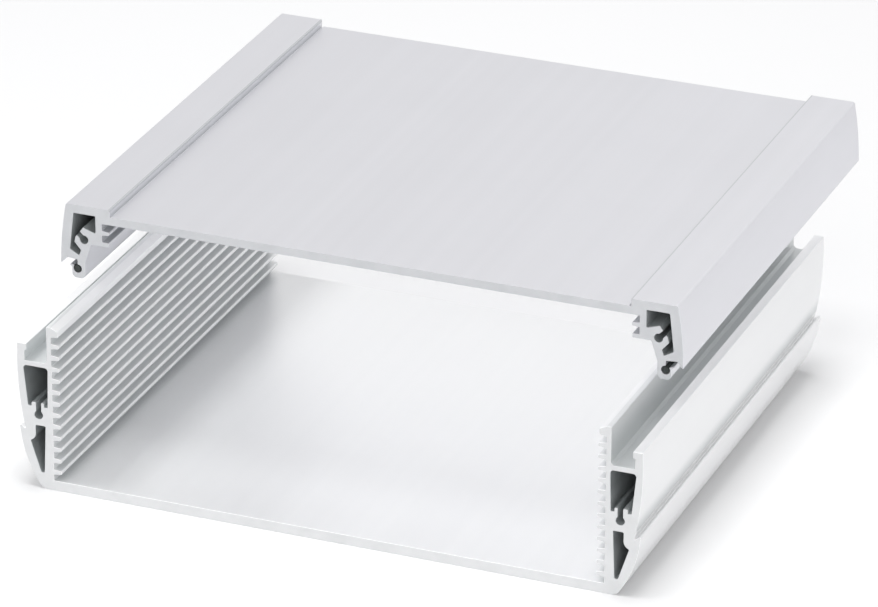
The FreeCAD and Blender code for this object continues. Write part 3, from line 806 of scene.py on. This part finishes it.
def closed(tree, walls, front, back):
    """The walls with both ends filled, marked and sewn on."""
    caps = joined(tree, sewn_cap(tree, walls, front, False), sewn_cap(tree, walls, back, True))
    whole = joined(tree, walls, marked(tree, caps, "cut_end", True))
    return made(tree, "GeometryNodeMergeByDistance", {"Geometry": whole, "Distance": SEAM})


print("ends are sewn on within", SEAM / MM, "mm")

# %% [markdown]
# Gentle bends are shaded smooth and sharp edges stay sharp. The tree then ends in Realize Instances and
# the materials: the first goes on everything, and each later one only on the faces with its mark.

# %% Shade and dress
SHARP_TURN = math.radians(35)


def smooth_over_bends(tree, mesh):
    """The mesh shaded smooth, but for its sharp edges."""
    turn = place(tree, "GeometryNodeInputMeshEdgeAngle").outputs["Unsigned Angle"]
    is_gentle = compare(tree, "LESS_THAN", turn, SHARP_TURN)
    mesh = made(tree, "GeometryNodeSetShadeSmooth", {"Geometry": mesh, "Shade Smooth": True})
    return made(tree, "GeometryNodeSetShadeSmooth", {"Geometry": mesh, "Shade Smooth": is_gentle},
                domain="EDGE")


def finished_in(tree, mesh, material, only=None):
    """The mesh with a material on all its faces, or only on those with a mark."""
    feeds = {"Geometry": mesh, "Material": material}
    if only is not None:
        feeds["Selection"] = mark(tree, only)
    return made(tree, "GeometryNodeSetMaterial", feeds)


print("edges past", round(math.degrees(SHARP_TURN)), "degrees stay sharp")

# %% The profile's whole tree
def profile_tree():
    """The tree that turns a section into a finished profile."""
    tree, given, result, identifiers = new_geometry_tree("drawn_profile", [
        ("Front", "Float"), ("Back", "Float"), ("Corner Radius", "Float"), ("Deburr", "Float"),
        ("Skin", "Material"), ("Hollow", "Material"), ("Cut End", "Material")])
    front, back = given.outputs["Front"], given.outputs["Back"]
    section = rounded_section(tree, given.outputs["Geometry"], given.outputs["Corner Radius"])
    section = with_hollows_marked(tree, section)
    walls = drawn_walls(tree, section, front, back, given.outputs["Deburr"])
    whole = smooth_over_bends(tree, closed(tree, walls, front, back))
    whole = made(tree, "GeometryNodeRealizeInstances", {"Geometry": whole})
    for label, only in (("Skin", None), ("Hollow", "shaded_hollow_wall"), ("Cut End", "cut_end")):
        whole = finished_in(tree, whole, given.outputs[label], only)
    tree.links.new(whole, result.inputs[0])
    return tree, identifiers


PROFILE_TREE, PROFILE_INPUTS = profile_tree()
print("tree:", PROFILE_TREE.name, len(PROFILE_TREE.nodes), "nodes")

# %% [markdown]
# The tree runs as a modifier on the section curve, and its result is copied out as a plain mesh. All faces
# are turned outwards, and the shading is weighted by face size, so that the broad flats stay flat next to
# their rounded corners.

# %% Helper: from a tree to a plain mesh
def grown(source, tree, identifiers, values, name):
    """The plain mesh that a tree makes of a source, as an object of this name."""
    maker = bpy.data.objects.new(f"{name}_maker", source)
    bpy.context.scene.collection.objects.link(maker)
    modifier = maker.modifiers.new("tree", "NODES")
    modifier.node_group = tree
    for label, value in values.items():
        modifier[identifiers[label]] = value
    graph = bpy.context.evaluated_depsgraph_get()
    mesh = bpy.data.meshes.new_from_object(maker.evaluated_get(graph), depsgraph=graph)
    bpy.data.objects.remove(maker)
    mesh.name = name
    piece = bpy.data.objects.new(name, mesh)
    bpy.context.scene.collection.objects.link(piece)
    return piece


print("helper: grown")

# %% Helper: faces outwards, flats flat
FACE_AREA_WEIGHT = 100


def finish_mesh(piece):
    """Turn all faces outwards and weigh the normals by face size."""
    work = bmesh.new()
    work.from_mesh(piece.data)
    bmesh.ops.recalc_face_normals(work, faces=work.faces)
    open_edges = sum(1 for e in work.edges if not e.is_manifold)
    volume = work.calc_volume(signed=True)
    work.to_mesh(piece.data)
    work.free()
    weigh = piece.modifiers.new("weigh", "WEIGHTED_NORMAL")
    weigh.keep_sharp = True
    weigh.weight = FACE_AREA_WEIGHT
    graph = bpy.context.evaluated_depsgraph_get()
    mesh = bpy.data.meshes.new_from_object(piece.evaluated_get(graph), depsgraph=graph)
    piece.modifiers.clear()
    piece.data = mesh
    triangles = sum(len(p.vertices) - 2 for p in mesh.polygons)
    print(f"{piece.name}: {triangles} triangles, {open_edges} open edges, {volume * 1e6:.1f} cm3")


print("helper: finish_mesh")

# %% [markdown]
# The base profile is the tray with its ribbed inner walls, and the lid profile the plate with its two
# hollow side beams. Each dressed profile rides on its body and takes the place of its node.

# %% Make the two profiles
DIE_RADIUS = 0.22 * MM
DEBURRED = 0.08 * MM


def dressed_profile(node, body, section, skin, end):
    """A profile with its rounded corners and deburred ends, in place of its node."""
    curve, front, back = section
    piece = grown(curve, PROFILE_TREE, PROFILE_INPUTS, {
        "Front": front, "Back": back, "Corner Radius": DIE_RADIUS, "Deburr": DEBURRED,
        "Skin": skin, "Hollow": SHADED_HOLLOW_WALL, "Cut End": end}, f"{node}_dressed")
    finish_mesh(piece)
    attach(piece, body)
    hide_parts(node)
    return piece


base_piece = dressed_profile("base_profile", "base", base_section, BASE_SKIN, BASE_END_SHADED)
lid_piece = dressed_profile("lid_profile", "lid", lid_section, LID_SKIN, LID_END_SHADED)

# %% [markdown]
# A sealing cord is pressed into its seat by hand, so it never lies quite straight, and its ends are
# snipped with a slight dome. A plain cylinder would miss both, so its tree sweeps a circle along a line
# that wanders by a few hundredths of a millimetre, with the last rings drawn in to round the ends.

# %% The cord's line and its domed ends
CORD_STEPS = 240
DOME_SHARE = 0.006
DOME_WIDTH = 0.8


def wandering_line(tree, start, end, wander):
    """A line from start to end that a slow noise moves a little across and up."""
    line = made(tree, "GeometryNodeCurvePrimitiveLine", {"Start": start, "End": end})
    line = made(tree, "GeometryNodeResampleCurve", {"Curve": line, "Count": CORD_STEPS})
    noise = place(tree, "ShaderNodeTexNoise", {"Scale": 90.0, "Detail": 1.0})
    shift = vector(tree, "SUBTRACT", noise.outputs["Color"], (0.5, 0.5, 0.5)).outputs[0]
    shift = vector(tree, "MULTIPLY", shift, (1, 0, 1)).outputs[0]
    return moved(tree, line, Offset=scaled(tree, shift, wander))


def domed(tree):
    """The cord's width along itself: full, and a little less near either end."""
    share = place(tree, "GeometryNodeSplineParameter").outputs["Factor"]
    to_end = calc(tree, "MINIMUM", share, calc(tree, "SUBTRACT", 1.0, share))
    return made(tree, "ShaderNodeMapRange", {
        "Value": to_end, "From Min": 0.0, "From Max": DOME_SHARE, "To Min": DOME_WIDTH, "To Max": 1.0},
        interpolation_type="SMOOTHERSTEP")


print("a cord's line has", CORD_STEPS, "points")

# %% The cord's whole tree
CORD_SIDES = 28


def cord_tree():
    """The tree that draws a round cord from its front to its back."""
    tree, given, result, identifiers = new_geometry_tree("sealing_cord", [
        ("Front", "Vector"), ("Back", "Vector"), ("Radius", "Float"), ("Wander", "Float"),
        ("Rubber", "Material")])
    line = wandering_line(tree, *(given.outputs[name] for name in ("Front", "Back", "Wander")))
    circle = made(tree, "GeometryNodeCurvePrimitiveCircle", {
        "Resolution": CORD_SIDES, "Radius": given.outputs["Radius"]})
    tube = made(tree, "GeometryNodeCurveToMesh", {
        "Curve": line, "Profile Curve": circle, "Fill Caps": True, "Scale": domed(tree)})
    tube = smooth_over_bends(tree, tube)
    tube = made(tree, "GeometryNodeRealizeInstances", {"Geometry": tube})
    tree.links.new(finished_in(tree, tube, given.outputs["Rubber"]), result.inputs[0])
    return tree, identifiers


CORD_TREE, CORD_INPUTS = cord_tree()
print("tree:", CORD_TREE.name, len(CORD_TREE.nodes), "nodes")

# %% [markdown]
# Each cord takes its place and its width from the box of its node. It is a hair thinner than the node, so
# that it stays within its seat where it wanders, and it rides with the lid.

# %% Make the two sealing cords
CORD_WANDER = 0.06 * MM
CORD_SLACK = 0.01 * MM


def dressed_cord(node):
    """A sealing cord in place of its node."""
    low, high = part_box(node)
    middle = (low + high) / 2
    radius = (high.x - low.x) / 2 - CORD_SLACK
    source = bpy.data.curves.new(f"{node}_line", "CURVE")
    piece = grown(source, CORD_TREE, CORD_INPUTS, {
        "Front": (middle.x, low.y, middle.z), "Back": (middle.x, high.y, middle.z),
        "Radius": radius, "Wander": CORD_WANDER, "Rubber": CORD_RUBBER}, f"{node}_cord")
    finish_mesh(piece)
    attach(piece, "lid")
    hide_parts(node)


for node in ("seal_left", "seal_right"):
    dressed_cord(node)

# %% [markdown]
# The table is a plain white sheet. It has to look pure white round a soft shadow, and more light would
# wash the object out, so the sheet helps itself: where the camera, or a reflection, looks at it, a little
# white glow is added to the lit surface. The shadow stays, because the glow is only a share of the whole.

# %% Finish: white paper
PAPER = (0.72, 0.72, 0.724, 1)
PAPER_GLOW = 0.125
WHITE = (1, 1, 1, 1)


def seen_directly(tree):
    """1 for a ray from the camera, a reflection or a look through glass."""
    path = tree.nodes.new("ShaderNodeLightPath")
    seen = calc(tree, "MAXIMUM", path.outputs["Is Camera Ray"], path.outputs["Is Glossy Ray"])
    return calc(tree, "MAXIMUM", seen, path.outputs["Is Transmission Ray"])


def white_table():
    """A white sheet that shows white and keeps the shadow."""
    material = bpy.data.materials.new("white_table")
    material.use_nodes = True
    tree = material.node_tree
    tree.nodes.clear()
    paper = place(tree, "ShaderNodeBsdfDiffuse", {"Color": PAPER})
    light = place(tree, "ShaderNodeEmission", {"Color": WHITE, "Strength": PAPER_GLOW})
    lit_and_glowing = place(tree, "ShaderNodeAddShader", {0: paper.outputs[0], 1: light.outputs[0]})
    choice = place(tree, "ShaderNodeMixShader", {
        0: seen_directly(tree), 1: paper.outputs[0], 2: lit_and_glowing.outputs[0]})
    place(tree, "ShaderNodeOutputMaterial", {"Surface": choice.outputs[0]})
    return material


WHITE_TABLE = white_table()
print("finish:", WHITE_TABLE.name)

# %% Table
TABLE_SIZE = 9.0


def build_table():
    """The sheet under the enclosure."""
    mesh = bpy.data.meshes.new("table")
    half = TABLE_SIZE / 2
    corners = [(-half, -half, 0), (half, -half, 0), (half, half, 0), (-half, half, 0)]
    mesh.from_pydata(corners, [], [(0, 1, 2, 3)])
    mesh.materials.append(WHITE_TABLE)
    table = bpy.data.objects.new("table", mesh)
    bpy.context.scene.collection.objects.link(table)
    return table


table = build_table()
print("table:", TABLE_SIZE, "m wide")

# %% [markdown]
# The world is a light tent. It is plain white to the camera and to reflections, but as a light each of its
# sides has a level of its own. The front is the brightest, so that light slips in under the lid and
# whitens the floor. The left comes next, and the card guides, which face the other way or lie deep
# inside, stay in soft shade. One even level would be simpler, but it would leave the object flat.

# %% World
TENT_TINT = (0.985, 0.99, 1, 1)
TENT_SIDES = [
    ("X", -1, 0.8),
    ("X", 1, 0.6),
    ("Y", 1, 0.35),
    ("Y", -1, 1.9),
]


def tent_level(tree):
    """How bright the tent is in a direction: each side's level by how squarely the direction meets it."""
    towards = tree.nodes.new("ShaderNodeTexCoord").outputs["Generated"]
    split = place(tree, "ShaderNodeSeparateXYZ", {0: towards})
    level = 0.0
    for axis, sign, side in TENT_SIDES:
        facing = calc(tree, "MAXIMUM", calc(tree, "MULTIPLY", split.outputs[axis], sign), 0.0)
        level = calc(tree, "MULTIPLY_ADD", calc(tree, "MULTIPLY", facing, facing), side, level)
    return level


def build_world():
    """White to the eye, and a tent with sides of their own levels as a light."""
    world = bpy.data.worlds.new("studio")
    bpy.context.scene.world = world
    world.use_nodes = True
    tree = world.node_tree
    tree.nodes.clear()
    shown = place(tree, "ShaderNodeBackground", {"Color": WHITE, "Strength": 1.0})
    lighting = place(tree, "ShaderNodeBackground", {"Color": TENT_TINT, "Strength": tent_level(tree)})
    choice = place(tree, "ShaderNodeMixShader", {
        0: seen_directly(tree), 1: lighting.outputs[0], 2: shown.outputs[0]})
    place(tree, "ShaderNodeOutputWorld", {"Surface": choice.outputs[0]})


build_world()
print("world: a tent with", len(TENT_SIDES), "sides")

# %% [markdown]
# In the picture to match, the base looks as bright as if no lid hung over it. Lamps that shine on all
# pieces alike can't give that, but Blender can link a lamp to the pieces that it lights and to those that
# throw its shadow. So one soft lamp above shines on everything, and five more light one piece each: one
# draws the base's shadow on the table, two whiten the base from the left and from above, and two even
# out the lid's top and its long side.

# %% Helpers: a softbox, and the pieces it lights
LAMP_AIM = Vector((0, 0, 30 * MM))


def softbox(name, turn, height, distance, size, level):
    """An area lamp at a turn from the front and a height above the table, both in degrees.

    The size is its width and its height. The level is what it adds to a white surface that faces it,
    where 1 is full white.
    """
    lamp = bpy.data.lights.new(name, "AREA")
    lamp.shape = "RECTANGLE"
    lamp.size, lamp.size_y = size
    lamp.energy = level * math.pi * math.pi * distance ** 2
    box = bpy.data.objects.new(name, lamp)
    around_z, above = math.radians(turn), math.radians(height)
    towards = Vector((
        math.sin(around_z) * math.cos(above),
        -math.cos(around_z) * math.cos(above),
        math.sin(above),
    ))
    box.location = LAMP_AIM + towards * distance
    box.rotation_euler = (-towards).to_track_quat("-Z", "Y").to_euler()
    bpy.context.scene.collection.objects.link(box)
    return box


def only_for(lamp, lit, shading):
    """Let a lamp light one piece alone, and let one piece alone throw its shadow."""
    for kind, piece in (("receiver", lit), ("blocker", shading)):
        chosen = bpy.data.collections.new(f"{lamp.name}_{kind}")
        chosen.objects.link(piece)
        setattr(lamp.light_linking, f"{kind}_collection", chosen)


print("helpers: softbox, only_for")

# %% Lamps
softbox("top_softbox", turn=0, height=86, distance=1.3, size=(0.4, 0.4), level=0.18)
table_lamp = softbox("table_softbox", turn=0, height=86, distance=1.3, size=(0.7, 0.7), level=0.78)
only_for(table_lamp, table, base_piece)
floor_lamp = softbox("floor_softbox", turn=-80, height=65, distance=1.2, size=(0.3, 0.3), level=0.38)
base_lamp = softbox("base_softbox", turn=0, height=80, distance=1.2, size=(1.2, 1.2), level=0.16)
for lamp in (floor_lamp, base_lamp):
    only_for(lamp, base_piece, base_piece)
lid_lamp = softbox("lid_softbox", turn=150, height=70, distance=0.6, size=(0.4, 0.4), level=0.27)
side_lamp = softbox("lid_side_strip", turn=88, height=10, distance=1.4, size=(0.9, 0.2), level=0.28)
for lamp in (lid_lamp, side_lamp):
    only_for(lamp, lid_piece, lid_piece)
print("lamps:", ", ".join(sorted(lamp.name for lamp in bpy.data.lights)))

# %% [markdown]
# The picture is shown as it is lit, with no film curve, so that a colour comes out about as it is written.

# %% Colour and the end
bpy.context.scene.view_settings.view_transform = "Standard"
